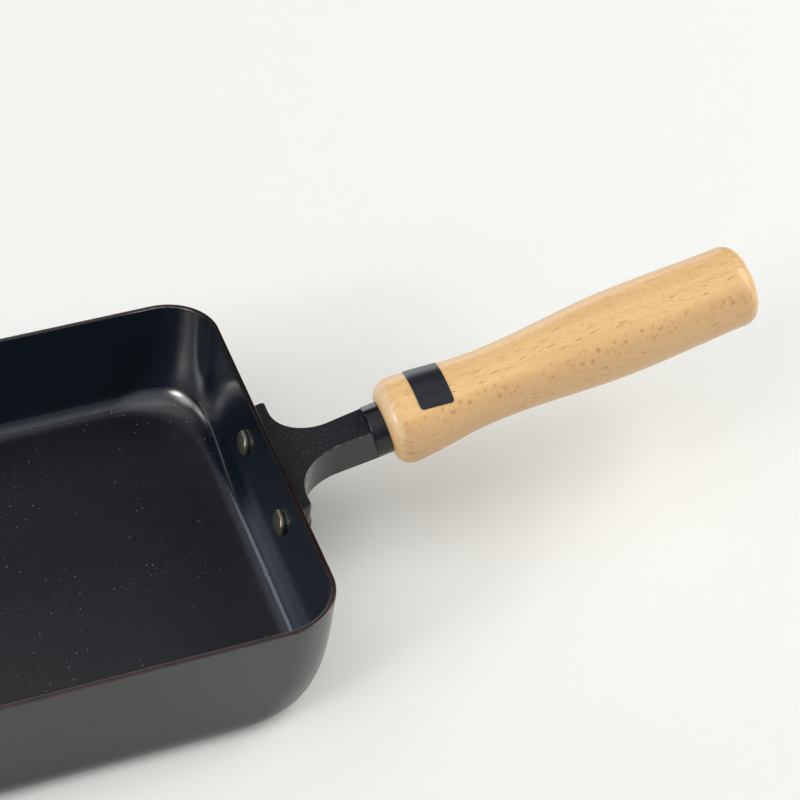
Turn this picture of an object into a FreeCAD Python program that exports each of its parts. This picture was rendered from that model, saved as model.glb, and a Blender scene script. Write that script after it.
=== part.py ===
import FreeCAD, Part
import math
import os

# Rolled-omelette pan: a pressed iron pan with a turned beech handle on a riveted bracket.
# Millimetres and degrees. +Z is up, the pan's base lies on Z = 0 with the origin at its centre,
# and +X runs along the pan towards the handle. Seen from the butt of the handle, left is -Y.

# Pan, pressed from one sheet; its sizes are taken at the rim unless the name says otherwise
inside_length = 180.0
inside_width = 150.0
pan_height = 38.6
sheet = 1.6
end_draft = 8.0
side_draft = 0.5
rim_corner = 18.0
base_corner = 33.0
corner_power = 4.0
bottom_round = 8.0
rim_ease = 0.35

# Handle line: it starts at the rim's outside face and rises away from the pan
handle_rise = 12.0
handle_height = 27.5

# Bracket: foot plate on the wall, flared neck, spigot inside the grip
foot_width = 49.5
foot_thickness = 5.2
foot_below_rivets = 8.0
foot_corner = 12.0
foot_end_round = 1.0
neck_length = 31.4
neck_height = 10.8
neck_waist = 10.6
neck_width = 12.2
flare_round = 14.0
underside_round = 2.0
casting_edge = 0.5
spigot_diameter = 10.0
spigot_length = 30.0

# Rivets: the inset is taken from the ends of the foot
rivet_inset = 5.95
rivet_height = 24.0
rivet_shank = 5.0
rivet_head = 8.0
rivet_head_edge = 1.2
rivet_dome = 1.1

# Ferrule
ferrule_diameter = 16.4
ferrule_length = 5.0
ferrule_edge = 0.4

# Grip: places are measured from its nose
grip_length = 122.4
nose_diameter = 27.4
nose_round = 5.4
waist_diameter = 23.7
waist_place = 25.5
belly_diameter = 27.2
belly_place = 73.5
butt_diameter = 26.0
butt_round = 5.5
counterbore_diameter = 14.0
counterbore_depth = 12.0
counterbore_edge = 0.6

# Tie bolt and its washers
bolt_diameter = 5.0
bolt_engagement = 14.0
bolt_point = 0.8
bolt_head_diameter = 8.5
bolt_head_height = 5.0
key_width = 4.0
key_depth = 2.6
washer_diameter = 12.0
washer_thickness = 1.0
lock_washer_diameter = 9.2
lock_washer_thickness = 1.3
lock_washer_slit = 1.0

# Label: a film stuck over the grip's top line; its width is taken straight across
label_place = 11.2
label_length = 10.0
label_width = 16.8
label_film = 0.15
label_corner = 1.0

# Clearances: on the radius for round fits, along the axis for ends, and the glue under the label
rivet_clearance = 0.05
rivet_seat_clearance = 0.3
ferrule_clearance = 0.1
socket_clearance = 0.1
thread_clearance = 0.05
bolt_clearance = 0.4
washer_clearance = 0.25
blind_end_gap = 1.5
label_clearance = 0.1

# Derived sizes
rim_half_length = inside_length / 2 + sheet
rim_half_width = inside_width / 2 + sheet
end_slope = math.tan(math.radians(end_draft))
side_slope = math.tan(math.radians(side_draft))
wall_thickness = sheet * math.cos(math.radians(end_draft))
rivet_wall = rim_half_length - (pan_height - rivet_height) * end_slope
rivet_hole = rivet_shank / 2 + rivet_clearance
rivet_spacing = foot_width - 2 * rivet_inset
grip_start = neck_length + ferrule_length
spigot_end = neck_length + spigot_length
counterbore_floor = grip_start + grip_length - counterbore_depth
bolt_seat = counterbore_floor + washer_thickness + lock_washer_thickness
bolt_tip = spigot_end - bolt_engagement
overshoot = sheet
section_shares = (0, 0.06, 0.25, 0.56, 1)
tolerance = 1e-4

ALONG = FreeCAD.Vector(1, 0, 0)
ACROSS = FreeCAD.Vector(0, 1, 0)
UP = FreeCAD.Vector(0, 0, 1)
CENTRE = FreeCAD.Vector(0, 0, 0)

# The wall frame lies on the handle-side wall at the rivets: X out of the wall, Z up along it.
wall = FreeCAD.Placement(FreeCAD.Vector(rivet_wall, 0, rivet_height), FreeCAD.Rotation(ACROSS, end_draft))
# The handle frame has X along the handle line.
handle = FreeCAD.Placement(
    FreeCAD.Vector(rim_half_length, 0, handle_height), FreeCAD.Rotation(ACROSS, -handle_rise)
)
handle_on_wall = wall.inverse().multiply(handle)


def point(along, up, across=0.0):
    return FreeCAD.Vector(along, across, up)


def polygon_face(points):
    return Part.Face(Part.makePolygon(points + points[:1]))


def profile_face(edges):
    return Part.Face(Part.Wire(edges))


def line(start, end):
    return Part.LineSegment(start, end).toShape()


def quarter_arc(start, end, centre):
    """Arc from start to end about a centre, through the point half way round."""
    radius = (start - centre).Length
    middle = centre + ((start + end) * 0.5 - centre).normalize() * radius
    return Part.Arc(start, middle, end).toShape()


def turned(face):
    """Solid of revolution about the frame's X axis."""
    return face.revolve(CENTRE, ALONG, 360)


def tube(outer, inner, start, length):
    """Ring about the frame's X axis."""
    place = point(start, 0)
    ring = Part.makeCylinder(outer / 2, length, place, ALONG)
    return ring.cut(Part.makeCylinder(inner / 2, length, place, ALONG))


def placed(shape, frame):
    shape = shape.copy()
    shape.Placement = frame.multiply(shape.Placement)
    return shape


def edges_at_height(shape, height):
    def level(edge):
        return all(abs(p.z - height) < tolerance for p in edge.discretize(3))
    return [edge for edge in shape.Edges if level(edge)]


# Pan

def pan_outline(height, inset):
    """Rounded rectangle of the outside wall at a height, moved inwards by an inset.

    The corners keep their rim radius over most of the wall and widen towards the base.
    """
    depth = pan_height - height
    half_x = rim_half_length - depth * end_slope - inset
    half_y = rim_half_width - depth * side_slope - inset
    widening = max(depth / pan_height, 0) ** corner_power
    corner = rim_corner + (base_corner - rim_corner) * widening - inset
    arcs = []
    for turn, (side_x, side_y) in enumerate([(1, 1), (-1, 1), (-1, -1), (1, -1)]):
        centre = FreeCAD.Vector(side_x * (half_x - corner), side_y * (half_y - corner), height)
        circle = Part.Circle(centre, UP, corner)
        arcs.append(Part.Arc(circle, math.pi / 2 * turn, math.pi / 2 * (turn + 1)).toShape())
    edges = []
    for arc, following in zip(arcs, arcs[1:] + arcs[:1]):
        edges.append(arc)
        edges.append(line(arc.Vertexes[-1].Point, following.Vertexes[0].Point))
    return Part.Wire(edges)


def pan_volume(low, high, inset, round_edge):
    """Solid between two heights with its lower edge rounded; its sections lie closer near the base."""
    heights = [low + (high - low) * share for share in section_shares]
    block = Part.makeLoft([pan_outline(height, inset) for height in heights], True, False)
    return block.makeFillet(round_edge, edges_at_height(block, low))


def rivet_places():
    return [point(0, 0, side * rivet_spacing / 2) for side in (-1, 1)]


def rivet_cuts(radius, start, end):
    """Cylinders on both rivets' axes, in the wall frame."""
    cuts = [Part.makeCylinder(radius, end - start, place + ALONG * start, ALONG) for place in rivet_places()]
    return Part.makeCompound(cuts)


def make_pan_body():
    outside = pan_volume(0, pan_height, 0, bottom_round)
    inside = pan_volume(sheet, pan_height + overshoot, sheet, bottom_round - sheet)
    shell = outside.cut(inside)
    shell = shell.makeFillet(rim_ease, edges_at_height(shell, pan_height))
    return shell.cut(placed(rivet_cuts(rivet_hole, -2 * sheet, sheet), wall))


# Bracket, worked out in the wall frame as what its plan, front and side profiles have in common

def bracket_plan(low, high):
    """Foot and neck seen from above, with the flares rounded in and the foot's ends rounded off."""
    shoulder = handle_on_wall.multVec(point(neck_length, 0)).x
    reach = shoulder + neck_height
    spread = (neck_width - neck_waist) / (shoulder - foot_thickness)
    reach_half = (neck_waist + spread * (reach - foot_thickness)) / 2
    half = [
        (0, foot_width / 2),
        (foot_thickness, foot_width / 2),
        (foot_thickness, neck_waist / 2),
        (reach, reach_half),
    ]
    outline = half + [(along, -across) for along, across in reversed(half)]
    block = polygon_face([point(along, low, across) for along, across in outline]).extrude(UP * (high - low))

    def stands_at(edge, along, across):
        ends = [v.Point for v in edge.Vertexes]
        return all(abs(p.x - along) < tolerance and abs(abs(p.y) - across) < tolerance for p in ends)
    flares = [edge for edge in block.Edges if stands_at(edge, foot_thickness, neck_waist / 2)]
    block = block.makeFillet(flare_round, flares)
    ends = [edge for edge in block.Edges if stands_at(edge, foot_thickness, foot_width / 2)]
    return block.makeFillet(foot_end_round, ends)


def bracket_front(low, high):
    """Foot seen from the handle, with its two lower corners rounded."""
    half = foot_width / 2
    outline = [point(0, low, -half), point(0, low, half), point(0, high, half), point(0, high, -half)]
    block = polygon_face(outline).extrude(ALONG * (neck_length + neck_height))
    lower = [edge for edge in edges_at_height(block, low) if edge.BoundBox.YLength < half]
    return block.makeFillet(foot_corner, lower)


def bracket_side(low):
    """Side profile: sloping neck over an upright foot, with the inner corner under the neck rounded."""
    def on_neck(along, up):
        return handle_on_wall.multVec(point(along, up))
    under_start = on_neck(0, -neck_height / 2)
    under_end = on_neck(neck_length, -neck_height / 2)
    share = (foot_thickness - under_start.x) / (under_end.x - under_start.x)
    inner_corner = under_start + (under_end - under_start) * share
    outline = [
        on_neck(-neck_length, neck_height / 2),
        on_neck(neck_length, neck_height / 2),
        under_end,
        inner_corner,
        point(foot_thickness, low),
        point(-neck_length, low),
    ]
    block = polygon_face(outline).extrude(ACROSS * foot_width)
    block.translate(ACROSS * (-foot_width / 2))
    at_corner = [
        edge for edge in block.Edges
        if all((v.Point - inner_corner).cross(ACROSS).Length < tolerance for v in edge.Vertexes)
    ]
    return block.makeFillet(underside_round, at_corner)


def make_handle_bracket():
    low = -foot_below_rivets
    block = bracket_plan(low, pan_height).common(bracket_front(low, pan_height))
    block = block.common(bracket_side(low - overshoot))
    top = handle_on_wall.multVec(point(0, neck_height / 2))
    top_normal = handle_on_wall.Rotation.multVec(UP)

    def on_top(edge):
        return all(abs((p - top).dot(top_normal)) < tolerance for p in edge.discretize(5))

    def free(edge):
        """Neither against the pan's wall nor against the ferrule."""
        middle = edge.discretize(3)[1]
        along = handle_on_wall.inverse().multVec(middle).x
        return middle.x > casting_edge and along < neck_length - casting_edge
    block = block.makeFillet(casting_edge, [edge for edge in block.Edges if on_top(edge) and free(edge)])
    root = point(neck_length - overshoot, 0)
    spigot = Part.makeCylinder(spigot_diameter / 2, spigot_length + overshoot, root, ALONG)
    block = block.fuse(placed(spigot, handle_on_wall)).removeSplitter()
    thread = Part.makeCylinder(
        bolt_diameter / 2 + thread_clearance,
        bolt_engagement + blind_end_gap,
        point(bolt_tip - blind_end_gap, 0),
        ALONG,
    )
    block = block.cut(placed(thread, handle_on_wall))
    block = block.cut(rivet_cuts(rivet_hole, -overshoot, foot_thickness + overshoot))
    # Spot faces, where the flares would stand under the rivet heads
    seat = rivet_head / 2 + rivet_seat_clearance
    block = block.cut(rivet_cuts(seat, foot_thickness, foot_thickness + flare_round))
    return placed(block, wall)


# Rivets: a domed head on each side of the wall and the foot

def head_edges(seat, direction):
    """Rim and dome of one head, from the shank outwards to its top."""
    edge = seat + direction * rivet_head_edge
    radius = (rivet_head ** 2 / 4 + rivet_dome ** 2) / (2 * rivet_dome)
    centre = edge + direction * (rivet_dome - radius)
    half_turn = math.asin(rivet_head / 2 / radius) / 2
    middle = point(centre + direction * radius * math.cos(half_turn), radius * math.sin(half_turn))
    top = point(edge + direction * rivet_dome, 0)
    corner = point(edge, rivet_head / 2)
    return [
        line(point(seat, rivet_shank / 2), point(seat, rivet_head / 2)),
        line(point(seat, rivet_head / 2), corner),
        Part.Arc(corner, middle, top).toShape(),
    ]


def make_rivet(place):
    inner_seat = -wall_thickness
    inner = head_edges(inner_seat, -1)
    outer = head_edges(foot_thickness, 1)
    shank = line(point(inner_seat, rivet_shank / 2), point(foot_thickness, rivet_shank / 2))
    axis = line(inner[-1].Vertexes[-1].Point, outer[-1].Vertexes[-1].Point)
    rivet = turned(profile_face(Part.__sortEdges__(inner + outer + [shank, axis])))
    rivet.translate(place)
    return placed(rivet, wall)


# Ferrule and grip

def make_ferrule():
    bore = spigot_diameter + 2 * ferrule_clearance
    ring = tube(ferrule_diameter, bore, neck_length, ferrule_length)
    rims = [edge for edge in ring.Edges if abs(edge.BoundBox.ZMax - ferrule_diameter / 2) < tolerance]
    rims = [edge for edge in rims if edge.BoundBox.XLength < ferrule_edge]
    return placed(ring.makeFillet(ferrule_edge, rims), handle)


def grip_side():
    """The grip's turned outline between the rounded nose and the rounded butt."""
    places = [
        point(grip_start + nose_round, nose_diameter / 2),
        point(grip_start + waist_place, waist_diameter / 2),
        point(grip_start + belly_place, belly_diameter / 2),
        point(grip_start + grip_length - butt_round, butt_diameter / 2),
    ]
    curve = Part.BSplineCurve()
    curve.interpolate(Points=places, InitialTangent=ALONG, FinalTangent=ALONG)
    return curve.toShape()


def make_handle_grip():
    nose = grip_start
    butt = grip_start + grip_length
    socket = spigot_diameter / 2 + socket_clearance
    socket_end = spigot_end + blind_end_gap
    bolt_hole = bolt_diameter / 2 + bolt_clearance
    pocket = counterbore_diameter / 2
    nose_top = point(nose + nose_round, nose_diameter / 2)
    nose_front = point(nose, nose_diameter / 2 - nose_round)
    butt_top = point(butt - butt_round, butt_diameter / 2)
    butt_back = point(butt, butt_diameter / 2 - butt_round)
    bores = [
        butt_back,
        point(butt, pocket + counterbore_edge),
        point(butt - counterbore_edge, pocket),
        point(counterbore_floor, pocket),
        point(counterbore_floor, bolt_hole),
        point(socket_end, bolt_hole),
        point(socket_end, socket),
        point(nose, socket),
        nose_front,
    ]
    edges = [
        quarter_arc(nose_front, nose_top, point(nose + nose_round, nose_diameter / 2 - nose_round)),
        grip_side(),
        quarter_arc(butt_top, butt_back, point(butt - butt_round, butt_diameter / 2 - butt_round)),
    ]
    edges += [line(start, end) for start, end in zip(bores, bores[1:])]
    return placed(turned(profile_face(edges)), handle)


def make_grip_label():
    """Film that follows the turned outline, cut to a rectangle with rounded corners."""
    inner = grip_side()
    inner.translate(UP * label_clearance)
    outer = inner.copy()
    outer.translate(UP * label_film)
    ends = [line(inner.Vertexes[k].Point, outer.Vertexes[k].Point) for k in (0, -1)]
    skin = turned(profile_face(Part.__sortEdges__([inner, outer] + ends)))
    corner = point(grip_start + label_place, 0, -label_width / 2)
    cutter = Part.makeBox(label_length, label_width, belly_diameter + nose_diameter, corner)
    upright = [edge for edge in cutter.Edges if edge.BoundBox.ZLength > belly_diameter]
    return placed(skin.common(cutter.makeFillet(label_corner, upright)), handle)


# Bolt and washers

def make_handle_bolt():
    radius = bolt_diameter / 2
    head = bolt_head_diameter / 2
    top = bolt_seat + bolt_head_height
    outline = [
        point(bolt_tip, 0),
        point(bolt_tip, radius - bolt_point),
        point(bolt_tip + bolt_point, radius),
        point(bolt_seat, radius),
        point(bolt_seat, head),
        point(top, head),
        point(top, 0),
    ]
    bolt = turned(polygon_face(outline))
    reach = key_width / math.sqrt(3)
    corners = []
    for k in range(6):
        turn = math.radians(60 * k)
        corners.append(point(top - key_depth, reach * math.sin(turn), reach * math.cos(turn)))
    socket = polygon_face(corners).extrude(ALONG * (key_depth + overshoot))
    return placed(bolt.cut(socket), handle)


def washer(outer, start, thickness):
    return tube(outer, bolt_diameter + 2 * washer_clearance, start, thickness)


def make_bolt_washer():
    return placed(washer(washer_diameter, counterbore_floor, washer_thickness), handle)


def make_lock_washer():
    start = counterbore_floor + washer_thickness
    ring = washer(lock_washer_diameter, start, lock_washer_thickness)
    corner = FreeCAD.Vector(start, -lock_washer_slit / 2, 0)
    slit = Part.makeBox(lock_washer_thickness, lock_washer_slit, lock_washer_diameter, corner)
    return placed(ring.cut(slit), handle)


left_place, right_place = rivet_places()
nodes = {
    "pan_body": make_pan_body(),
    "handle_bracket": make_handle_bracket(),
    "left_rivet": make_rivet(left_place),
    "right_rivet": make_rivet(right_place),
    "ferrule": make_ferrule(),
    "handle_grip": make_handle_grip(),
    "handle_bolt": make_handle_bolt(),
    "bolt_washer": make_bolt_washer(),
    "lock_washer": make_lock_washer(),
    "grip_label": make_grip_label(),
}

os.makedirs("parts", exist_ok=True)
for name, shape in nodes.items():
    box = shape.BoundBox
    print(f"{name}: {len(shape.Solids)} solid, valid {shape.isValid()}, {shape.Volume:.0f} mm3, "
          f"x {box.XMin:.1f} to {box.XMax:.1f}, z {box.ZMin:.1f} to {box.ZMax:.1f}")
    shape.exportStep(f"parts/{name}.step")
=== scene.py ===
# %% [markdown]
# # A rolled-omelette pan
#
# The solids of this pan come as a frame: every node is at its real size and place, in metres, with
# the base on Z = 0 and +X running towards the handle. This lesson leaves the frame where it is and
# gives each piece the form and the finish that the real one shows from close by. The pieces that
# carry a highlight are modelled again with finer faces, because a glossy surface shows every facet.

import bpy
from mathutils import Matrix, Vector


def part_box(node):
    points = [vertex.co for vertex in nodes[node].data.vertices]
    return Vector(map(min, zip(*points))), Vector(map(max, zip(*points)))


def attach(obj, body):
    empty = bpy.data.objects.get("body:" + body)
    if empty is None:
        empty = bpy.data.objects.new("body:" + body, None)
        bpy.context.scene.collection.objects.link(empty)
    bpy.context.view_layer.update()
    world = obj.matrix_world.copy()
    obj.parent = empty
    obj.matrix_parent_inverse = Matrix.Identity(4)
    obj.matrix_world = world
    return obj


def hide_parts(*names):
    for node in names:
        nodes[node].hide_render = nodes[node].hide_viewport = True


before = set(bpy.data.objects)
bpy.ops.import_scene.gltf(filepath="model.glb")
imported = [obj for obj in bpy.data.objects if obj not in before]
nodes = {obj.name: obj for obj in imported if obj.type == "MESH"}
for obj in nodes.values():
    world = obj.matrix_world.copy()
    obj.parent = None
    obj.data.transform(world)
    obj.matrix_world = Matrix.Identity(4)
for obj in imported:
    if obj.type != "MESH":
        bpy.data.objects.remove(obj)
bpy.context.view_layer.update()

import math

import bmesh
import bpy
from mathutils import Vector
from mathutils.geometry import interpolate_bezier

MM = 0.001
print("nodes in the frame:", ", ".join(sorted(nodes)))

# %% [markdown]
# ## Working habits
#
# An operator acts on whatever is selected, and the frame arrives with all its nodes selected. So
# every piece starts from an empty selection, is shaped in edit mode, gets its modifiers applied, and
# ends with its place moved into its mesh. Patterns that read object coordinates then stay put.

# %% Helpers for operators
def nothing_selected():
    """Object mode with an empty selection, the clean start of every piece."""
    if bpy.context.mode != "OBJECT":
        bpy.ops.object.mode_set(mode="OBJECT")
    bpy.ops.object.select_all(action="DESELECT")


def make_active(piece):
    """Selects one piece alone, for the operators that follow."""
    nothing_selected()
    piece.select_set(True)
    bpy.context.view_layer.objects.active = piece


def apply_modifier(piece, kind, **settings):
    """Adds a modifier, sets it up and applies it to the mesh."""
    make_active(piece)
    modifier = piece.modifiers.new(kind, kind)
    for setting, value in settings.items():
        setattr(modifier, setting, value)
    bpy.ops.object.modifier_apply(modifier=modifier.name)


def select_where(test):
    """In edit mode, selects the vertices whose place passes a test, and what lies between them."""
    bpy.ops.mesh.select_all(action="DESELECT")
    mesh = bmesh.from_edit_mesh(bpy.context.object.data)
    for vertex in mesh.verts:
        vertex.select = test(vertex.co)
    mesh.select_flush(True)
    bmesh.update_edit_mesh(bpy.context.object.data)


def settle(piece, name, place=(0, 0, 0), turn=(0, 0, 0)):
    """Names a piece, puts it in its place and moves that place into the mesh."""
    make_active(piece)
    piece.name = name
    piece.data.name = name
    piece.location = place
    piece.rotation_euler = turn
    bpy.ops.object.transform_apply(location=True, rotation=True, scale=True)


def hand_over(piece, node):
    """The piece rides on the frame's only body and stands for a node, which is hidden."""
    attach(piece, "root")
    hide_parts(node)
    print(piece.name, "stands for", node, "with", len(piece.data.polygons), "faces")


print("selected after loading:", len(bpy.context.selected_objects), "objects")

# %% [markdown]
# ## The pan's outline
#
# The pan is pressed from one flat sheet, so its corners keep one radius down most of the wall and
# widen where they run into the base, the end walls lean out, and a round joins floor and walls. One
# could bevel a box, but a bevel keeps one radius all the way. Instead a formula gives the outline at
# any height, and the next step draws it as loops of edges.

# %% Outline of the outside at a height
RIM_HALF_LENGTH, RIM_HALF_WIDTH, PAN_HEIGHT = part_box("pan_body")[1]
END_DRAFT = math.radians(8)
SIDE_DRAFT = math.radians(0.5)
RIM_CORNER = 18 * MM
BASE_CORNER = 33 * MM
CORNER_POWER = 4
BOTTOM_ROUND = 8 * MM


def wall_reach(height, rim_half, draft):
    """Distance of the sloping wall from the middle, as if it ran straight down to the base."""
    return rim_half - (PAN_HEIGHT - height) * math.tan(draft)


def outside_reach(height, rim_half, draft):
    """Distance of the outside from the middle: the sloping wall, or the bottom round below it."""
    if height >= BOTTOM_ROUND * (1 - math.sin(draft)):
        return wall_reach(height, rim_half, draft)
    centre = wall_reach(BOTTOM_ROUND, rim_half, draft) - BOTTOM_ROUND / math.cos(draft)
    return centre + math.sqrt(BOTTOM_ROUND ** 2 - (BOTTOM_ROUND - height) ** 2)


def pan_outline(height):
    """Half length, half width and corner radius of the outside at a height."""
    half_length = outside_reach(height, RIM_HALF_LENGTH, END_DRAFT)
    half_width = outside_reach(height, RIM_HALF_WIDTH, SIDE_DRAFT)
    inset = wall_reach(height, RIM_HALF_WIDTH, SIDE_DRAFT) - half_width
    widening = (1 - height / PAN_HEIGHT) ** CORNER_POWER
    corner = RIM_CORNER + (BASE_CORNER - RIM_CORNER) * widening - inset
    return half_length, half_width, corner


print("base outline, mm:", [round(size / MM, 1) for size in pan_outline(0)])

# %% [markdown]
# ## The pressed sheet
#
# Each loop is a plane whose four corners are rounded by a vertex bevel. Bridging loop to loop gives
# even quads from the floor to the rim, which is what keeps the long reflections straight. The floor
# face is inset by a millimetre, so that its shading stays flat up to the round. Solidify then gives
# the sheet its thickness inwards, and a small bevel eases the rim.

# %% Loops bridged into a bowl
CORNER_STEPS = 24
ROUND_TURN = 6
WALL_STEPS = 14
SAME_LEVEL = 0.001 * MM
heights = [BOTTOM_ROUND * (1 - math.cos(math.radians(turn))) for turn in range(0, 91, ROUND_TURN)]
for step in range(1, WALL_STEPS + 1):
    heights.append(BOTTOM_ROUND + (PAN_HEIGHT - BOTTOM_ROUND) * step / WALL_STEPS)


def shape_loop(height):
    """Turns the plane that is selected in edit mode into the outline's loop of edges."""
    half_length, half_width, corner = pan_outline(height)
    bpy.ops.transform.resize(value=(half_length, half_width, 1), center_override=(0, 0, 0))
    bpy.ops.transform.translate(value=(0, 0, height))
    bpy.ops.mesh.bevel(affect="VERTICES", offset=corner, segments=CORNER_STEPS)
    bpy.ops.mesh.delete(type="ONLY_FACE")


nothing_selected()
bpy.ops.mesh.primitive_plane_add(size=2)
pan = bpy.context.object
bpy.ops.object.mode_set(mode="EDIT")
shape_loop(heights[0])
for below, above in zip(heights, heights[1:]):
    bpy.ops.mesh.select_all(action="DESELECT")
    bpy.ops.mesh.primitive_plane_add(size=2)
    shape_loop(above)
    select_where(lambda place: min(abs(place.z - below), abs(place.z - above)) < SAME_LEVEL)
    bpy.ops.mesh.bridge_edge_loops()
print("bridged", len(heights), "loops")

# %% Floor, thickness and rim
SHEET = 1.6 * MM
RIM_EASE = 0.35 * MM
FLAT_MARGIN = 1 * MM


def smooth_faces(piece, degrees):
    """Smooth shading with edges sharper than an angle kept crisp."""
    make_active(piece)
    bpy.ops.object.shade_smooth_by_angle(angle=math.radians(degrees))
    apply_modifier(piece, "WEIGHTED_NORMAL", keep_sharp=True)


select_where(lambda place: abs(place.z) < SAME_LEVEL)
bpy.ops.mesh.edge_face_add()
bpy.ops.mesh.inset(thickness=FLAT_MARGIN)
bpy.ops.mesh.select_all(action="SELECT")
bpy.ops.mesh.normals_make_consistent(inside=False)
bpy.ops.object.mode_set(mode="OBJECT")
floor_face = min(pan.data.polygons, key=lambda face: face.center.z - face.area)
if floor_face.normal.z > 0:
    pan.data.flip_normals()
apply_modifier(pan, "SOLIDIFY", thickness=SHEET, offset=-1, use_even_offset=True)
apply_modifier(
    pan, "BEVEL", width=RIM_EASE, segments=3, limit_method="ANGLE", angle_limit=math.radians(60),
)
smooth_faces(pan, 50)
settle(pan, "pan_sheet")
hand_over(pan, "pan_body")

# %% [markdown]
# ## Turned pieces
#
# The grip, the ferrule and the rivets are all round, as if from a lathe. The profile is drawn as a
# chain of edges, one vertex extruded after another, and spun round the Z axis. A screw modifier
# could do the same, but spin leaves plain faces at once. The finished piece is then turned from Z to
# its own axis.

# %% A lathe
def turn_on_lathe(profile, steps):
    """Spins a chain of (along, radius) points round the Z axis and returns the new piece."""
    nothing_selected()
    bpy.ops.mesh.primitive_plane_add(size=1 * MM)
    bpy.ops.object.mode_set(mode="EDIT")
    bpy.ops.mesh.merge(type="CENTER")
    along, radius = profile[0]
    bpy.ops.transform.translate(value=(radius, 0, along))
    for (along, radius), (next_along, next_radius) in zip(profile, profile[1:]):
        move = (next_radius - radius, 0, next_along - along)
        bpy.ops.mesh.extrude_vertices_move(TRANSFORM_OT_translate={"value": move})
    bpy.ops.mesh.select_all(action="SELECT")
    bpy.ops.mesh.spin(steps=steps, angle=math.tau, center=(0, 0, 0), axis=(0, 0, 1))
    bpy.ops.mesh.select_all(action="SELECT")
    bpy.ops.mesh.remove_doubles(threshold=SAME_LEVEL)
    bpy.ops.mesh.normals_make_consistent(inside=False)
    if bmesh.from_edit_mesh(bpy.context.object.data).calc_volume(signed=True) < 0:
        bpy.ops.mesh.flip_normals()
    bpy.ops.object.mode_set(mode="OBJECT")
    print("turned a profile of", len(profile), "points in", steps, "steps")
    return bpy.context.object


def arc(along, radius, size, start, end, steps):
    """Points of an arc about (along, radius); 0 degrees points along the axis and 90 outwards."""
    turns = [math.radians(start + (end - start) * step / steps) for step in range(steps + 1)]
    return [(along + size * math.cos(turn), radius + size * math.sin(turn)) for turn in turns]


# %% [markdown]
# ## The beech grip
#
# The grip is turned from one stick of beech: a rounded nose that seats on the ferrule, a waist for
# the fingers, a fuller belly and a rounded butt with a pocket for the bolt. Its side is three Bezier
# spans that share a slope where they meet, which is how a turner blends one curve into the next.

# %% Profile of the grip
HANDLE_RISE = math.radians(12)
HANDLE_START = Vector((RIM_HALF_LENGTH, 0, 27.5 * MM))
HANDLE_TURN = (0, math.pi / 2 - HANDLE_RISE, 0)
NECK_LENGTH = 31.4 * MM
FERRULE_LENGTH = 5 * MM
GRIP_LENGTH = 122.4 * MM
NOSE_RADIUS, NOSE_ROUND = 13.7 * MM, 5.4 * MM
WAIST_RADIUS, WAIST_PLACE, WAIST_SLOPE = 11.85 * MM, 25.5 * MM, -0.086
BELLY_RADIUS, BELLY_PLACE, BELLY_SLOPE = 13.6 * MM, 73.5 * MM, 0.036
BUTT_RADIUS, BUTT_ROUND = 13 * MM, 5.5 * MM
SPAN_POINTS = 24

nose = NECK_LENGTH + FERRULE_LENGTH
butt = nose + GRIP_LENGTH
stations = [
    (nose + NOSE_ROUND, NOSE_RADIUS, 0),
    (nose + WAIST_PLACE, WAIST_RADIUS, WAIST_SLOPE),
    (nose + BELLY_PLACE, BELLY_RADIUS, BELLY_SLOPE),
    (butt - BUTT_ROUND, BUTT_RADIUS, 0),
]


def side_points():
    """The grip's side from nose to butt, without its two end points."""
    points = []
    for (along, radius, slope), (next_along, next_radius, next_slope) in zip(stations, stations[1:]):
        third = (next_along - along) / 3
        start, end = Vector((along, radius)), Vector((next_along, next_radius))
        lead, trail = Vector((third, third * slope)), Vector((third, third * next_slope))
        points += interpolate_bezier(start, start + lead, end - trail, end, SPAN_POINTS)[1:]
    return [tuple(point) for point in points[:-1]]


print("grip from", round(nose / MM, 1), "to", round(butt / MM, 1), "mm along the handle")

# %% Turn the grip
POCKET_RADIUS, POCKET_DEPTH, POCKET_EDGE = 7 * MM, 12 * MM, 0.6 * MM
BOLT_HOLE = 2.9 * MM
SOCKET_RADIUS, SOCKET_DEPTH = 5.1 * MM, 26.5 * MM
ROUND_POINTS = 12
GRIP_STEPS = 96
outside = arc(nose + NOSE_ROUND, NOSE_RADIUS - NOSE_ROUND, NOSE_ROUND, 180, 90, ROUND_POINTS)
outside += side_points()
outside += arc(butt - BUTT_ROUND, BUTT_RADIUS - BUTT_ROUND, BUTT_ROUND, 90, 0, ROUND_POINTS)
pocket_floor = butt - POCKET_DEPTH
socket_end = nose + SOCKET_DEPTH
bores = [
    (butt, POCKET_RADIUS + POCKET_EDGE),
    (butt - POCKET_EDGE, POCKET_RADIUS),
    (pocket_floor, POCKET_RADIUS),
    (pocket_floor, BOLT_HOLE),
    (socket_end, BOLT_HOLE),
    (socket_end, SOCKET_RADIUS),
    (nose, SOCKET_RADIUS),
]
grip = turn_on_lathe(outside + bores + outside[:1], GRIP_STEPS)
smooth_faces(grip, 30)
settle(grip, "beech_grip", HANDLE_START, HANDLE_TURN)
hand_over(grip, "handle_grip")

# %% [markdown]
# ## Ferrule and rivets
#
# The ferrule is a smooth ring with eased edges between the bracket and the wood. The rivets have a
# low domed head with a straight edge on both sides of the wall. One could turn them both, but they
# are alike, so one rivet is turned and the other is its copy, with a mesh of its own.

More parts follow.
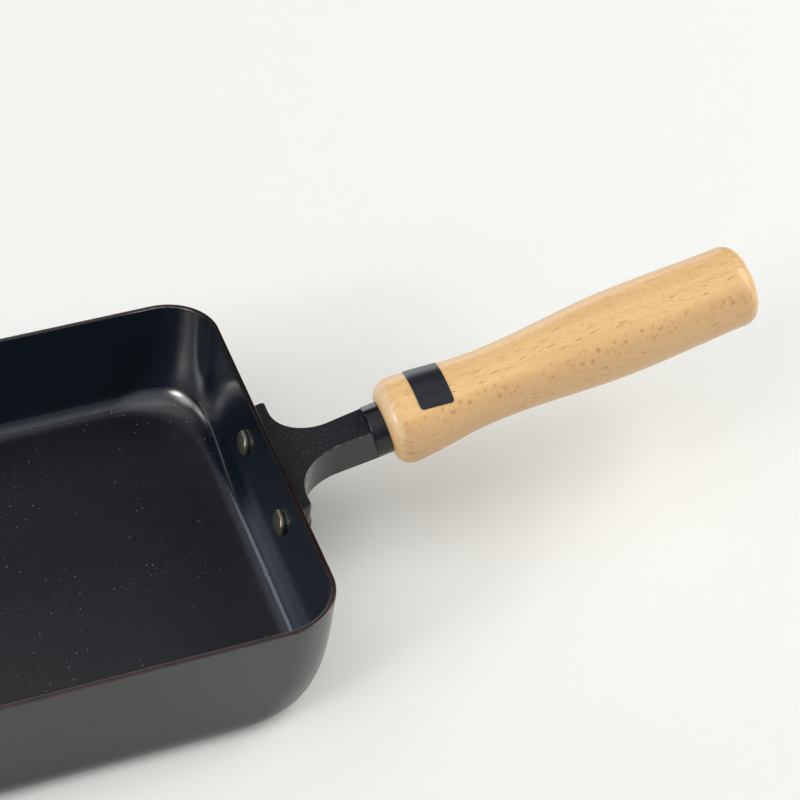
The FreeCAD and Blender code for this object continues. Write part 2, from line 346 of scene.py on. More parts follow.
# %% Ferrule
FERRULE_RADIUS, FERRULE_BORE, FERRULE_EDGE = 8.2 * MM, 5.1 * MM, 0.4 * MM
EDGE_POINTS = 5
FERRULE_STEPS = 72
edge_centre = FERRULE_RADIUS - FERRULE_EDGE
profile = [(NECK_LENGTH, FERRULE_BORE)]
profile += arc(NECK_LENGTH + FERRULE_EDGE, edge_centre, FERRULE_EDGE, 180, 90, EDGE_POINTS)
profile += arc(nose - FERRULE_EDGE, edge_centre, FERRULE_EDGE, 90, 0, EDGE_POINTS)
profile += [(nose, FERRULE_BORE), (NECK_LENGTH, FERRULE_BORE)]
ferrule = turn_on_lathe(profile, FERRULE_STEPS)
smooth_faces(ferrule, 40)
settle(ferrule, "ferrule_ring", HANDLE_START, HANDLE_TURN)
hand_over(ferrule, "ferrule")

# %% Turn one rivet
SHANK_RADIUS, HEAD_RADIUS, HEAD_EDGE, HEAD_DOME = 2.5 * MM, 4 * MM, 1.2 * MM, 1.1 * MM
HEAD_EASE = 0.45 * MM
FOOT_THICKNESS = 5.2 * MM
DOME_POINTS = 10
RIVET_STEPS = 48
inner_seat = -SHEET * math.cos(END_DRAFT)
dome_radius = (HEAD_RADIUS ** 2 + HEAD_DOME ** 2) / (2 * HEAD_DOME)
dome_half = math.degrees(math.asin(HEAD_RADIUS / dome_radius))
inner_rim = inner_seat - HEAD_EDGE
outer_rim = FOOT_THICKNESS + HEAD_EDGE
inner_dome = arc(inner_rim - HEAD_DOME + dome_radius, 0, dome_radius, 180, 180 - dome_half, DOME_POINTS)
outer_dome = arc(outer_rim + HEAD_DOME - dome_radius, 0, dome_radius, dome_half, 0, DOME_POINTS)
profile = inner_dome + [(inner_seat, HEAD_RADIUS), (inner_seat, SHANK_RADIUS)]
profile += [(FOOT_THICKNESS, SHANK_RADIUS), (FOOT_THICKNESS, HEAD_RADIUS)] + outer_dome
left_rivet = turn_on_lathe(profile, RIVET_STEPS)
apply_modifier(
    left_rivet, "BEVEL", width=HEAD_EASE, segments=4, limit_method="ANGLE", angle_limit=math.radians(35),
)
smooth_faces(left_rivet, 50)

# %% Copy it and set both in the wall
RIVET_HEIGHT = 24 * MM
RIVET_SPACING = 37.6 * MM
RIVET_TURN = (0, math.pi / 2 + END_DRAFT, 0)
right_rivet = left_rivet.copy()
right_rivet.data = left_rivet.data.copy()
bpy.context.collection.objects.link(right_rivet)
rivet_wall = wall_reach(RIVET_HEIGHT, RIM_HALF_LENGTH, END_DRAFT)
for rivet, side, node in ((left_rivet, -1, "left_rivet"), (right_rivet, 1, "right_rivet")):
    settle(rivet, node + "_head", (rivet_wall, side * RIVET_SPACING / 2, RIVET_HEIGHT), RIVET_TURN)
    hand_over(rivet, node)

# %% [markdown]
# ## The label
#
# A strip of film is stuck over the top of the grip. A plane with rounded corners is sliced into
# strips by bisecting it, so that it can bend, then shrink-wrapped down onto the wood and thickened.
# A strip cut from the grip's own faces would have ragged edges. The film stays bare.

# %% A flat label, sliced
LABEL_LENGTH, LABEL_WIDTH, LABEL_CORNER = 10.6 * MM, 17.4 * MM, 1 * MM
LONG_SLICES, CROSS_SLICES = 10, 36
nothing_selected()
bpy.ops.mesh.primitive_plane_add(size=1)
label = bpy.context.object
bpy.ops.object.mode_set(mode="EDIT")
bpy.ops.transform.resize(value=(LABEL_LENGTH, LABEL_WIDTH, 1), center_override=(0, 0, 0))
bpy.ops.mesh.bevel(affect="VERTICES", offset=LABEL_CORNER, segments=6)
cuts = ((LONG_SLICES, LABEL_LENGTH, (1, 0, 0)), (CROSS_SLICES, LABEL_WIDTH, (0, 1, 0)))
for count, size, across in cuts:
    for slice_number in range(1, count):
        bpy.ops.mesh.select_all(action="SELECT")
        place = Vector(across) * size * (slice_number / count - 0.5)
        bpy.ops.mesh.bisect(plane_co=place, plane_no=across)
bpy.ops.object.mode_set(mode="OBJECT")
print("label sliced into", len(label.data.polygons), "faces")

# %% Wrap it over the grip
LABEL_PLACE, LABEL_FILM = 11 * MM, 0.25 * MM
LABEL_SHIFT = Vector((0, -0.7 * MM, 0))
HANDLE_ALONG = Vector((math.cos(HANDLE_RISE), 0, math.sin(HANDLE_RISE)))
HANDLE_ABOVE = Vector((-math.sin(HANDLE_RISE), 0, math.cos(HANDLE_RISE)))
label.location = HANDLE_START + HANDLE_ALONG * (nose + LABEL_PLACE + LABEL_LENGTH / 2)
label.location += HANDLE_ABOVE * 2 * NOSE_RADIUS
label.location += LABEL_SHIFT
label.rotation_euler = (0, -HANDLE_RISE, 0)
bpy.context.view_layer.update()
apply_modifier(
    label, "SHRINKWRAP", target=grip, wrap_method="PROJECT", use_project_z=True,
    use_negative_direction=True, use_positive_direction=False,
)
apply_modifier(label, "SOLIDIFY", thickness=LABEL_FILM, offset=1)
smooth_faces(label, 40)
settle(label, "label_film", label.location, label.rotation_euler)
hand_over(label, "grip_label")

# %% [markdown]
# ## Camera
#
# The photograph looks down at the pan from its left, with a longish lens. The camera is set by the
# direction that it looks in, its distance, and the pixel where the middle of the handle-side rim is
# seen in a picture of 800 by 800.

# %% Camera
PICTURE = 800
SENSOR = 36.0
VIEW_AZIMUTH = math.radians(-19.479)
VIEW_ELEVATION = math.radians(41.312)
VIEW_DISTANCE = 700 * MM
PIXELS_PER_METRE = 3318
RIM_PIXEL = (272.5, 440.7)
target = Vector((RIM_HALF_LENGTH, 0, 40 * MM))
back = Vector((
    math.sin(VIEW_AZIMUTH) * math.cos(VIEW_ELEVATION),
    -math.cos(VIEW_AZIMUTH) * math.cos(VIEW_ELEVATION),
    math.sin(VIEW_ELEVATION),
))
right = Vector((math.cos(VIEW_AZIMUTH), math.sin(VIEW_AZIMUTH), 0))
up = back.cross(right)
off_centre = [(pixel - PICTURE / 2) / PIXELS_PER_METRE for pixel in RIM_PIXEL]
camera = bpy.data.objects.new("camera", bpy.data.cameras.new("camera"))
bpy.context.scene.collection.objects.link(camera)
camera.location = target + back * VIEW_DISTANCE - right * off_centre[0] + up * off_centre[1]
camera.rotation_euler = (-back).to_track_quat("-Z", "Y").to_euler()
camera.data.sensor_width = SENSOR
camera.data.lens = PIXELS_PER_METRE * VIEW_DISTANCE * SENSOR / PICTURE
bpy.context.scene.camera = camera
print("camera at", [round(value, 4) for value in camera.location])
print("lens of", round(camera.data.lens, 1), "mm")

# %% [markdown]
# ## Writing finishes as sums
#
# A finish is a tree of shader nodes. Wiring it by hand hides the idea behind it, so one small class
# wraps a socket and gives it the signs of arithmetic: `1 - mask` adds a Math node and returns its
# socket. Every other node comes from one method, which takes the type, the settings and the sockets.

# %% Values and node trees
class Value:
    """A socket whose operators add Math nodes to its tree."""

    def __init__(self, finish, socket):
        self.finish = finish
        self.socket = socket

    def output(self, name):
        """Another output of the node that this socket belongs to."""
        return Value(self.finish, self.socket.node.outputs[name])

    def math(self, operation, first, second):
        return self.finish.node("ShaderNodeMath", {"operation": operation}, {0: first, 1: second})

    def __add__(self, other):
        return self.math("ADD", self, other)

    def __sub__(self, other):
        return self.math("SUBTRACT", self, other)

    def __rsub__(self, other):
        return self.math("SUBTRACT", other, self)

    def __mul__(self, other):
        return self.math("MULTIPLY", self, other)

    def __lt__(self, other):
        return self.math("LESS_THAN", self, other)

    def __gt__(self, other):
        return self.math("GREATER_THAN", self, other)

    __radd__ = __add__
    __rmul__ = __mul__


class Finish:
    """The node tree of a material or of the surround."""

    def __init__(self, owner):
        owner.use_nodes = True
        self.owner = owner
        self.tree = owner.node_tree

    def feed(self, node, sockets):
        """Sets a node's sockets by name or number, to a constant or to a link."""
        for name, value in sockets.items():
            if isinstance(value, Value):
                self.tree.links.new(value.socket, node.inputs[name])
            else:
                node.inputs[name].default_value = value

    def node(self, kind, settings=None, sockets=None, output=0):
        """Adds a node: first its settings, then the values or links of its sockets."""
        node = self.tree.nodes.new(kind)
        for name, value in (settings or {}).items():
            setattr(node, name, value)
        self.feed(node, sockets or {})
        return Value(self, node.outputs[output])

    def surface(self, **sockets):
        """Sets the main shader, with underscores for the blanks in its socket names."""
        shader = self.tree.nodes["Principled BSDF"]
        self.feed(shader, {name.replace("_", " "): value for name, value in sockets.items()})
        print("finish", self.owner.name, "has", len(self.tree.nodes), "nodes")
        return self.owner


# %% Patterns that several finishes share
def place_on(finish):
    """Object coordinates: metres in the pan's frame."""
    return finish.node("ShaderNodeTexCoord", output="Object")


def vector(finish, operation, first, second):
    """Arithmetic on two vectors, part by part."""
    return finish.node("ShaderNodeVectorMath", {"operation": operation}, {0: first, 1: second})


def dot(finish, first, second):
    """How far two directions agree, from -1 to 1."""
    return finish.node("ShaderNodeVectorMath", {"operation": "DOT_PRODUCT"}, {0: first, 1: second}, "Value")


def facing(finish, direction):
    """How much the surface faces a direction, from -1 to 1."""
    return dot(finish, finish.node("ShaderNodeNewGeometry", output="Normal"), direction)


def noise(finish, place, size, detail=2.0, roughness=0.5):
    """Soft blotches of about a size in metres, from 0 to 1."""
    return finish.node("ShaderNodeTexNoise", {}, {
        "Vector": place, "Scale": 1 / size, "Detail": detail, "Roughness": roughness})


def ramp(finish, value, start, end, low=0.0, high=1.0):
    """A smooth step from low to high while a value goes from start to end."""
    return finish.node("ShaderNodeMapRange", {"interpolation_type": "SMOOTHSTEP"}, {
        "Value": value, "From Min": start, "From Max": end, "To Min": low, "To Max": high})


def blend(finish, share, first, second, way="MIX"):
    """Mixes two colours by a share."""
    return finish.node("ShaderNodeMix", {"data_type": "RGBA", "blend_type": way}, {
        0: share, 6: first, 7: second}, 2)


def specks(finish, place, cell, radius, share):
    """Round spots of a radius, in a share of the cells of a random packing."""
    spots = finish.node("ShaderNodeTexVoronoi", {}, {"Vector": place, "Scale": 1 / cell})
    chance = finish.node("ShaderNodeSeparateColor", {}, {"Color": spots.output("Color")})
    return (spots < radius / cell) * (chance < share)


def bumped(finish, height, strength, distance):
    """A normal that follows a height pattern."""
    return finish.node("ShaderNodeBump", {}, {
        "Height": height, "Strength": strength, "Distance": distance})


def dress(material, *pieces):
    """Gives pieces one material in place of what they carried."""
    for piece in pieces:
        piece.data.materials.clear()
        piece.data.materials.append(material)


# %% [markdown]
# ## Blued iron
#
# The sheet is blued: a thin baked oxide, almost black, that mirrors its surroundings softly. Such a
# layer behaves like a varnish and not like bare metal, so the base stays dark and a raised
# refractive index gives the reflection. The walls are blue-black, the floor turns a little browner
# towards the near left, and the outside of the front is grey from a painted reflection of the table
# that pales towards the handle. Fine dust lies on what faces up.

# %% Oxide colours and a painted reflection
iron = Finish(bpy.data.materials.new("blued_iron"))
place = place_on(iron)
along = iron.node("ShaderNodeSeparateXYZ", {}, {"Vector": place}, "X")
across = along.output("Y")
height = along.output("Z")
upward = facing(iron, (0, 0, 1))
cloud = noise(iron, place, 30 * MM, 3)
grain = noise(iron, place, 0.5 * MM, 2)
floor_share = ramp(iron, upward, 0.6, 0.98)
flat_share = ramp(iron, upward, 0.9, 0.998)
near_left = ramp(iron, across * 0.8 + along * 0.6, 20 * MM, -90 * MM)
front = ramp(iron, facing(iron, (0, -1, 0)), 0.2, 0.6) * ramp(iron, across, -40 * MM, -60 * MM)
to_handle = ramp(iron, along, 0, 88 * MM)
blue_black = blend(iron, cloud, (0.001, 0.005, 0.0118, 1), (0.002, 0.0066, 0.0136, 1))
brown_black = blend(iron, near_left, (0.0012, 0.0011, 0.0066, 1), (0.0106, 0.0056, 0.0052, 1))
# painted reflection: the grey of the front's outside stands for the table mirrored in it, paler towards the
# handle
front_painted_reflection = blend(iron, to_handle, (0.001, 0.001, 0.0004, 1), (0.02, 0.0205, 0.02, 1))
oxide = blend(iron, floor_share, blend(iron, front, blue_black, front_painted_reflection), brown_black)
print("oxide colours from", len(iron.tree.nodes), "nodes")

# %% Dust and a scratch
DUST_GREY = (0.3, 0.3, 0.3, 1)
SCRATCH_START, SCRATCH_END = Vector((-30 * MM, -46 * MM)), Vector((-33 * MM, -58 * MM))
SCRATCH_WIDTH = 0.12 * MM


def scratch(start, end, width):
    """A fine line on the pan's floor between two places, broken up by noise."""
    run = end - start
    shifted = vector(iron, "SUBTRACT", place, (start.x, start.y, 0))
    turned = iron.node("ShaderNodeMapping", {}, {
        "Vector": shifted, "Rotation": (0, 0, -math.atan2(run.y, run.x))})
    lengthwise = iron.node("ShaderNodeSeparateXYZ", {}, {"Vector": turned}, "X")
    sideways = lengthwise.output("Y")
    on_line = ramp(iron, sideways * sideways, width * width, width * width / 4)
    inside = (lengthwise > 0) * (lengthwise < run.length)
    return on_line * inside * floor_share * ramp(iron, noise(iron, place, 2 * MM, 2), 0.4, 0.6)


by_wall = ramp(iron, along, 55 * MM, 78 * MM, 0.25, 0.6)
dust_share = ramp(iron, noise(iron, place, 16 * MM, 2), 0.35, 0.65) * by_wall
coarse_dust = specks(iron, place, 1.7 * MM, 0.17 * MM, dust_share)
fine_dust = specks(iron, place, 0.8 * MM, 0.11 * MM, dust_share * 1.3)
dust = (coarse_dust + fine_dust * 0.6) * ramp(iron, upward, 0.3, 0.9, 0.12, 1)
scratches = scratch(SCRATCH_START, SCRATCH_END, SCRATCH_WIDTH) * 0.5
print("dust and scratch bring it to", len(iron.tree.nodes), "nodes")

# %% [markdown]
# ## Crease and rim
#
# Where the floor turns up into the wall on the handle side, a paler band and a thin line along the
# crease are painted: the band is a painted reflection and the line a painted highlight. A lamp for
# each would light the rest too, so both are painted by the height above the base and keep to the
# round. The cut rim has turned red-brown, almost black on the handle side, with pale bare-iron wear
# along its edges that also paints the highlight lines there. A dark metal mirrors less than a
# varnish, so some Metallic is what darkens that side.

# %% Painted reflection and highlight along the crease
CREASE_REFLECTION_GREY = (0.046, 0.056, 0.07, 1)
CREASE_HIGHLIGHT_GREY = (0.1, 0.1, 0.104, 1)
handle_wall = ramp(iron, along, 66 * MM, 76 * MM)
low_wall = ramp(iron, height, 16.5 * MM, 9 * MM) * ramp(iron, height, 3.0 * MM, 4.0 * MM)
# painted reflection: a paler band in the round of the crease on the handle side
crease_reflection = low_wall * handle_wall * ramp(iron, across, 18 * MM, 0)
line_height = height - ramp(iron, across, 20 * MM, 56 * MM, 0, 1.7 * MM)
line_start = ramp(iron, line_height, 2.9 * MM, 3.25 * MM)
line_end = ramp(iron, line_height, 3.75 * MM, 3.4 * MM)
line_reach = ramp(iron, across, 10 * MM, 45 * MM, 0.1, 0.9)
# painted highlight: a thin pale line along the crease, set by the height above the base
crease_highlight = line_start * line_end * ramp(iron, along, 80 * MM, 83 * MM) * line_reach
with_painted_crease = blend(iron, crease_reflection, oxide, CREASE_REFLECTION_GREY)
with_painted_crease = blend(iron, crease_highlight, with_painted_crease, CREASE_HIGHLIGHT_GREY)
dusty = blend(iron, dust + scratches, with_painted_crease, DUST_GREY)
print("the crease brings it to", len(iron.tree.nodes), "nodes")

# %% Rim
RIM_DARK = (0.011, 0.005, 0.005, 1)
RIM_RED = (0.036, 0.0125, 0.0105, 1)
BARE_IRON_HIGHLIGHT = (0.6, 0.5, 0.45, 1)
on_rim = ramp(iron, height, PAN_HEIGHT - 0.4 * MM, PAN_HEIGHT - 0.3 * MM)
beside_top = ramp(iron, height, PAN_HEIGHT - 0.01 * MM, PAN_HEIGHT - 0.08 * MM)
on_edge = on_rim * beside_top * ramp(iron, upward, 0.1, 0.3)
red_patches = ramp(iron, noise(iron, place, 5 * MM, 3), 0.3, 0.6)
rim_red = ramp(iron, across, 10 * MM, -60 * MM, 0.1, 0.85) * red_patches
rust = blend(iron, rim_red, RIM_DARK, RIM_RED)
handle_side = ramp(iron, along, 72 * MM, 88 * MM) * ramp(iron, across, -72 * MM, -50 * MM)
far_corner = ramp(iron, along, 62 * MM, 72 * MM) * ramp(iron, across, 60 * MM, 68 * MM)
wear_patches = ramp(iron, noise(iron, place, 2 * MM, 3), 0.2, 0.55)
# pale bare-iron wear on the eased rim edges, which also paints the highlight lines seen there
wear_and_highlight = on_edge * (handle_side * 0.22 + far_corner * 0.6) * wear_patches
dark_rim = on_rim * handle_side * 0.75
rimmed = blend(iron, on_rim, dusty, rust)
print("the rim brings it to", len(iron.tree.nodes), "nodes")

# %% Iron surface
satin = 0.15 + grain * 0.05 + cloud * 0.04 + flat_share * 0.19
iron_finish = iron.surface(
    Base_Color=blend(iron, wear_and_highlight, rimmed, BARE_IRON_HIGHLIGHT),
    Metallic=wear_and_highlight + dark_rim - wear_and_highlight * dark_rim,
    Roughness=satin + crease_reflection * 0.12 + dust * 0.3 + wear_and_highlight * 0.15,
    IOR=1.78,
    Normal=bumped(iron, noise(iron, place, 14 * MM, 1), 0.25, 0.4 * MM),
)
dress(iron_finish, pan)

# %% [markdown]
# ## Black casting
#
# The bracket is a casting with a baked black coat. Its top is matt and grainy with dust in the
# pores, while the sides have stayed smooth, so a clear coat lies on them and mirrors the table. Where
# the black is rubbed, the grey iron shows along the upper edges. Those could be painted by hand, but
# the small rounds are the only places whose normals lie between the top and the sides, so the slope
# finds them.

# %% Bracket colours
COAT_BLACK = (0.0048, 0.0058, 0.0088, 1)
COAT_BROWN = (0.014, 0.0095, 0.0085, 1)
COAT_GREY = (0.0115, 0.012, 0.0145, 1)
casting = Finish(bpy.data.materials.new("cast_black"))
place = place_on(casting)
top = facing(casting, HANDLE_ABOVE)
top_share = ramp(casting, top, 0.7, 0.95)
edge_share = ramp(casting, top, 0.25, 0.5) * ramp(casting, top, 0.95, 0.75)
rubbed = ramp(casting, noise(casting, place, 1.4 * MM, 3, 0.65), 0.42, 0.62)
fine = noise(casting, place, 0.45 * MM, 3, 0.65)
from_wall = casting.node("ShaderNodeSeparateXYZ", {}, {"Vector": place}, "X") - RIM_HALF_LENGTH
brown_share = ramp(casting, from_wall, 16 * MM, 4 * MM) * top_share * noise(casting, place, 3 * MM, 3)
coat = blend(casting, brown_share, COAT_BLACK, COAT_BROWN)
mottle = ramp(casting, noise(casting, place, 1.2 * MM, 3, 0.6), 0.4, 0.7) * top_share
coat = blend(casting, mottle * 0.5, coat, COAT_GREY)
patches = ramp(casting, noise(casting, place, 6 * MM, 2), 0.35, 0.7, 0.15, 0.7)
dust = specks(casting, place, 0.8 * MM, 0.13 * MM, patches) * (0.1 + 0.9 * top_share)
dusty = blend(casting, dust, coat, (0.16, 0.155, 0.15, 1))
print("bracket colours from", len(casting.tree.nodes), "nodes")

# %% Bracket surface
casting_finish = casting.surface(
    Base_Color=blend(casting, edge_share * rubbed * 0.7, dusty, (0.17, 0.17, 0.17, 1)),
    Roughness=0.22 + top_share * 0.5 + fine * 0.1 + edge_share * 0.15,
    IOR=1.36,
    Coat_Weight=1 - top_share,
    Coat_IOR=1.5,
    Coat_Roughness=0.12,
    Normal=bumped(casting, fine * (0.15 + 0.85 * top_share), 0.6, 0.14 * MM),
)
dress(casting_finish, nodes["handle_bracket"])

# %% [markdown]
# ## Smooth black and dark steel
#
# The ferrule is smooth and semi-gloss, with a few specks of dust on top. The rivets are steel, dulled
# by heat, so they are nearly metallic with a stained colour, while their outer heads are painted
# near black as painted shade. A second material could do that, but a step along X inside one is enough.

# %% Ferrule finish
ring_black = Finish(bpy.data.materials.new("ring_black"))
place = place_on(ring_black)
wisp = noise(ring_black, place, 3 * MM, 4, 0.6)
fine = noise(ring_black, place, 0.5 * MM, 2)
upper_side = ramp(ring_black, facing(ring_black, (0, 0, 1)), 0.3, 0.9)
dust = specks(ring_black, place, 0.9 * MM, 0.12 * MM, 0.2) * upper_side
ring_finish = ring_black.surface(
    Base_Color=blend(ring_black, dust, (0.004, 0.005, 0.0085, 1), (0.1, 0.09, 0.08, 1)),
    Roughness=0.14 + wisp * 0.1,
    IOR=1.48,
    Normal=bumped(ring_black, fine, 0.25, 0.05 * MM),
)
dress(ring_finish, ferrule)

# %% Rivet finish
rivet_steel = Finish(bpy.data.materials.new("dark_steel"))
place = place_on(rivet_steel)
stain = noise(rivet_steel, place, 1.6 * MM, 3)
from_wall = rivet_steel.node("ShaderNodeSeparateXYZ", {}, {"Vector": place}, "X") - rivet_wall
# painted shade: the outer heads are darkened by a step along X, though the steel is the same on both sides
outer_shade_share = ramp(rivet_steel, from_wall, 1 * MM, 2 * MM)
bare = blend(rivet_steel, stain, (0.17, 0.168, 0.125, 1), (0.3, 0.295, 0.235, 1))
rivet_finish = rivet_steel.surface(
    Base_Color=blend(rivet_steel, outer_shade_share, bare, (0.006, 0.007, 0.009, 1)),
    Metallic=0.9 - outer_shade_share * 0.9,
    Roughness=0.3 + stain * 0.12,
    Normal=bumped(rivet_steel, stain, 0.2, 0.1 * MM),
)
dress(rivet_finish, left_rivet, right_rivet)

# %% [markdown]
# ## Beech
#
# Beech is a plain pale wood with one unmistakable mark: its rays, thin ribbons that run from the
# heart outwards. Cut across their edge they show as short dark dashes, and where the wood is cut
# along their flat they show as a band of brown flecks and bars. Painting both by hand would never
# meet at the curve of the grip. So the rays are made as solid ribbons in space, and the turned
# surface cuts through them as the lathe did.

# %% Wood coordinates
GRAIN_TILT = math.radians(28.5)
wood = Finish(bpy.data.materials.new("lacquered_beech"))
start_turned = Vector((HANDLE_START.dot(HANDLE_ALONG), 0, HANDLE_START.dot(HANDLE_ABOVE)))


def wavering(place, size, sway):
    """Moves a place by soft noise of a size, up to about half a sway along each axis."""
    soft = wood.node("ShaderNodeTexNoise", {}, {"Vector": place, "Scale": 1 / size, "Detail": 1}, "Color")
    centred = vector(wood, "SUBTRACT", soft, (0.5, 0.5, 0.5))
    return vector(wood, "ADD", place, vector(wood, "MULTIPLY", centred, sway))


on_handle = wood.node("ShaderNodeMapping", {}, {
    "Vector": place_on(wood), "Rotation": (0, HANDLE_RISE, 0), "Location": -start_turned})
straight = wood.node("ShaderNodeMapping", {}, {"Vector": on_handle, "Rotation": (GRAIN_TILT, 0, 0)})
in_stick = wavering(straight, 9 * MM, (0, 0.8 * MM, 0.8 * MM))
in_fleck = wavering(in_stick, 1.3 * MM, (1.4 * MM, 1.4 * MM, 1.4 * MM))
print("wood coordinates from", len(wood.tree.nodes), "nodes")

# %% Rays, flecks, rings and pores
def ribbons(place, cell, weights, core=0.55):
    """Ellipsoids, one in each cell: 1 inside the core, 0 outside, and a random number for each."""
    scaled = vector(wood, "DIVIDE", place, cell)
    spots = wood.node("ShaderNodeTexVoronoi", {}, {"Vector": scaled, "Scale": 1})
    offset = vector(wood, "SUBTRACT", scaled, spots.output("Position"))
    weighted = vector(wood, "MULTIPLY", offset, weights)
    reach = wood.node("ShaderNodeVectorMath", {"operation": "LENGTH"}, {0: weighted}, "Value")
    chance = wood.node("ShaderNodeSeparateColor", {}, {"Color": spots.output("Color")})
    return ramp(wood, reach, 1.0, core), chance


def streaks(size, detail):
    """Noise stretched along the grain: a size along, across the rings and through them."""
    scaled = vector(wood, "DIVIDE", in_stick, size)
    return wood.node("ShaderNodeTexNoise", {}, {"Vector": scaled, "Scale": 1, "Detail": detail})


rays, ray_chance = ribbons(in_stick, (4.6 * MM, 0.9 * MM, 8 * MM), (2.4, 9.0, 1.6))
small_rays, small_chance = ribbons(in_stick, (2.2 * MM, 0.5 * MM, 4 * MM), (2.3, 6.5, 1.7))
flecks, fleck_chance = ribbons(in_fleck, (3.0 * MM, 9 * MM, 2.4 * MM), (2.7, 0.9, 2.2), 0.1)
bars, bar_chance = ribbons(in_fleck, (1.2 * MM, 8 * MM, 2.2 * MM), (3.0, 0.9, 2.3), 0.2)
rings = streaks((60 * MM, 7 * MM, 2.4 * MM), 2)
pores = streaks((1.6 * MM, 0.16 * MM, 0.16 * MM), 2)
print("rays and pores bring it to", len(wood.tree.nodes), "nodes")

# %% Where the rays show
FLECK_FACE = HANDLE_ABOVE * math.sin(GRAIN_TILT) + Vector((0, -math.cos(GRAIN_TILT), 0))
flat_cut = facing(wood, FLECK_FACE)
across_rays = ramp(wood, flat_cut, 0.985, 0.92)
on_band = ramp(wood, flat_cut, 0.955, 0.993)
ray_share = rays * ramp(wood, ray_chance, 0.25, 0.8, 0.05, 0.8) * across_rays
small_share = small_rays * small_chance * ramp(wood, flat_cut, 0.985, 0.9) * 0.85
fleck_share = flecks * ramp(wood, fleck_chance, 0.35, 0.8, 0.05, 0.75) * on_band
bar_share = bars * bar_chance * on_band * 0.55
print("flecks show most where the wood faces", [round(part, 2) for part in FLECK_FACE])

# %% [markdown]
# ## Colours of the grip
#
# The rings give two pale tones and the pores a darker one. The side towards the front is darkened by
# painted shade, and the top of the nose is paled by a painted highlight. Each mark is then laid over
# the last, the finest first, and a thin satin lacquer goes over all of it.

# %% Beech colours
RING_PALE, RING_DARK = (0.79, 0.505, 0.228, 1), (0.73, 0.445, 0.187, 1)
PORE_BROWN = (0.62, 0.355, 0.14, 1)
FRONT_SHADE_BROWN = (0.57, 0.35, 0.166, 1)
NOSE_HIGHLIGHT_PALE = (0.95, 0.76, 0.52, 1)
# painted shade: the side of the grip towards the front is darkened brown
front_shade_share = ramp(wood, facing(wood, (0, -1, 0)), 0.7, 0.97)
nose_top = ramp(wood, facing(wood, (0, 0, 1)), -0.2, 0.4)
# painted highlight: the top of the nose rounding is paled
nose_highlight_share = ramp(wood, facing(wood, -HANDLE_ALONG), 0.1, 0.6) * nose_top
body = blend(wood, ramp(wood, rings, 0.3, 0.7), RING_PALE, RING_DARK)
body = blend(wood, ramp(wood, pores, 0.45, 0.75) * 0.3, body, PORE_BROWN)
body = blend(wood, front_shade_share * 0.8, body, FRONT_SHADE_BROWN)
body = blend(wood, nose_highlight_share * 0.45, body, NOSE_HIGHLIGHT_PALE)
body = blend(wood, small_share, body, (0.5, 0.24, 0.075, 1))
body = blend(wood, ray_share, body, (0.45, 0.165, 0.035, 1))
body = blend(wood, bar_share, body, (0.48, 0.2, 0.05, 1))
body = blend(wood, fleck_share, body, (0.48, 0.18, 0.04, 1))
print("beech colours bring it to", len(wood.tree.nodes), "nodes")

# %% Beech surface
wood_finish = wood.surface(
    Base_Color=body,
    Roughness=0.5 + pores * 0.1,
    Coat_Weight=0.5 - ray_share * 0.2,
    Coat_Roughness=0.15,
    Normal=bumped(wood, pores * 0.4 - ray_share * 0.3, 0.1, 0.1 * MM),
)
dress(wood_finish, grip)

# %% [markdown]
# ## Black film and zinc
#
# The label is a black film, a little smeared, so its gloss varies. The bolt and its washers are zinc
# plated, and they show only in the pocket of the butt. A photograph of plating would give the same
# soft spangle, but noise needs no picture and fits any size.

# %% Label finish
black_film = Finish(bpy.data.materials.new("black_film"))
place = place_on(black_film)
smear = noise(black_film, place, 5 * MM, 3)
film_finish = black_film.surface(
    Base_Color=blend(black_film, smear, (0.0105, 0.0122, 0.0175, 1), (0.0145, 0.0165, 0.0235, 1)),
    Roughness=0.24 + smear * 0.12,
    IOR=1.45,
    Normal=bumped(black_film, noise(black_film, place, 2.5 * MM, 2), 0.15, 0.06 * MM),
)
dress(film_finish, label)

# %% Bolt and washer finish
zinc = Finish(bpy.data.materials.new("zinc_plate"))
spangle = noise(zinc, place_on(zinc), 1.2 * MM, 3)
zinc_finish = zinc.surface(
    Base_Color=blend(zinc, spangle, (0.5, 0.51, 0.5, 1), (0.68, 0.68, 0.65, 1)),
    Metallic=1.0,
    Roughness=0.25 + spangle * 0.2,
)
dress(zinc_finish, nodes["handle_bolt"], nodes["bolt_washer"], nodes["lock_washer"])

# %% [markdown]
# ## Floor and light
#
# The pan stands on a plain pale surface. One large soft lamp stands far off on the right, where the
# handle points, so the grip's shadow stays soft and close. The surround is dark except for round
# glows, because a black glossy pan shows every bright thing around it. More lamps could do that, but
# a glow has no hard edge in the mirror and is set by a direction and two angles. The widest fills the
# front from the camera's side, and the strongest, low on the left, shines in the far corner.

# %% Floor
FLOOR_SIZE = 8.0
nothing_selected()
bpy.ops.mesh.primitive_plane_add(size=FLOOR_SIZE)
floor = bpy.context.object
floor.name = "floor"
paper = Finish(bpy.data.materials.new("pale_paper"))
paper_cloud = noise(paper, place_on(paper), 300 * MM, 2)
dress(paper.surface(
    Base_Color=blend(paper, paper_cloud, (0.827, 0.831, 0.809, 1), (0.817, 0.823, 0.799, 1)),
    Roughness=0.9,
), floor)

# %% Lamp
LAMP_DISTANCE = 7.6
LAMP_WIDTH, LAMP_HEIGHT = 6.0, 7.4
LAMP_RADIANCE = 3.7


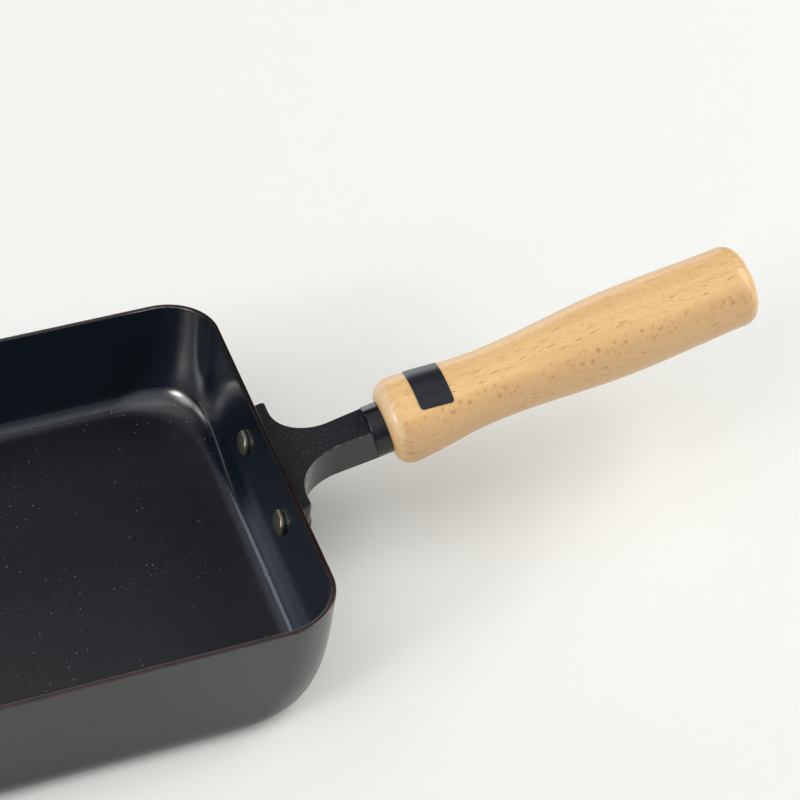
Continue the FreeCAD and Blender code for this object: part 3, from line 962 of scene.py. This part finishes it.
def aim(elevation, azimuth):
    """The direction at an elevation and an azimuth in degrees; azimuth 0 is +Y and 90 is +X."""
    flat = math.cos(math.radians(elevation))
    turn = math.radians(azimuth)
    return Vector((flat * math.sin(turn), flat * math.cos(turn), math.sin(math.radians(elevation))))


to_lamp = aim(35, 104.6)
light = bpy.data.lights.new("right_lamp", "AREA")
light.shape = "RECTANGLE"
light.size = LAMP_WIDTH
light.size_y = LAMP_HEIGHT
light.energy = LAMP_RADIANCE * math.pi * LAMP_WIDTH * LAMP_HEIGHT
light.color = (1, 1, 0.95)
lamp = bpy.data.objects.new("right_lamp", light)
bpy.context.scene.collection.objects.link(lamp)
lamp.location = target + to_lamp * LAMP_DISTANCE
lamp.rotation_euler = (-to_lamp).to_track_quat("-Z", "Y").to_euler()
print("lamp of", round(light.energy, 1), "W")

# %% Surround
DARK_ROOM = (0.016, 0.016, 0.018, 1)
GLOWS = (
    # elevation, azimuth, full within, gone beyond, colour
    (12, -155, 64, 70, (0.28, 0.293, 0.285)),
    (25, -107, 2, 28, (0.45, 0.44, 0.43)),
    (27, -96, 2, 16, (4, 3.95, 3.85)),
    (20, -111, 1, 10.5, (17, 16.8, 16.4)),
    (42, 72, 3, 18, (2.4, 2.4, 2.35)),
    (80, -130, 10, 45, (0.2, 0.2, 0.195)),
    (55, -150, 10, 36, (0.41, 0.42, 0.49)),
    (8, -3, 14, 23, (2.3, 2.4, 2.4)),
    (25, -42, 2, 10, (1.65, 1.8, 2.0)),
    (33, -35, 5, 28, (0.22, 0.26, 0.33)),
    (66, -55, 20, 36, (0.62, 0.6, 0.62)),
)
world = bpy.data.worlds.new("surround")
bpy.context.scene.world = world
surround = Finish(world)
direction = surround.node("ShaderNodeTexCoord", output="Generated")
sky = DARK_ROOM
for elevation, azimuth, inner, outer, colour in GLOWS:
    towards = dot(surround, direction, aim(elevation, azimuth))
    share = ramp(surround, towards, math.cos(math.radians(outer)), math.cos(math.radians(inner)))
    sky = blend(surround, share, sky, (*colour, 1), "ADD")
surround.feed(world.node_tree.nodes["Background"], {"Color": sky})
bpy.context.scene.view_settings.view_transform = "Standard"
print("the surround has", len(GLOWS), "glows from", len(world.node_tree.nodes), "nodes")
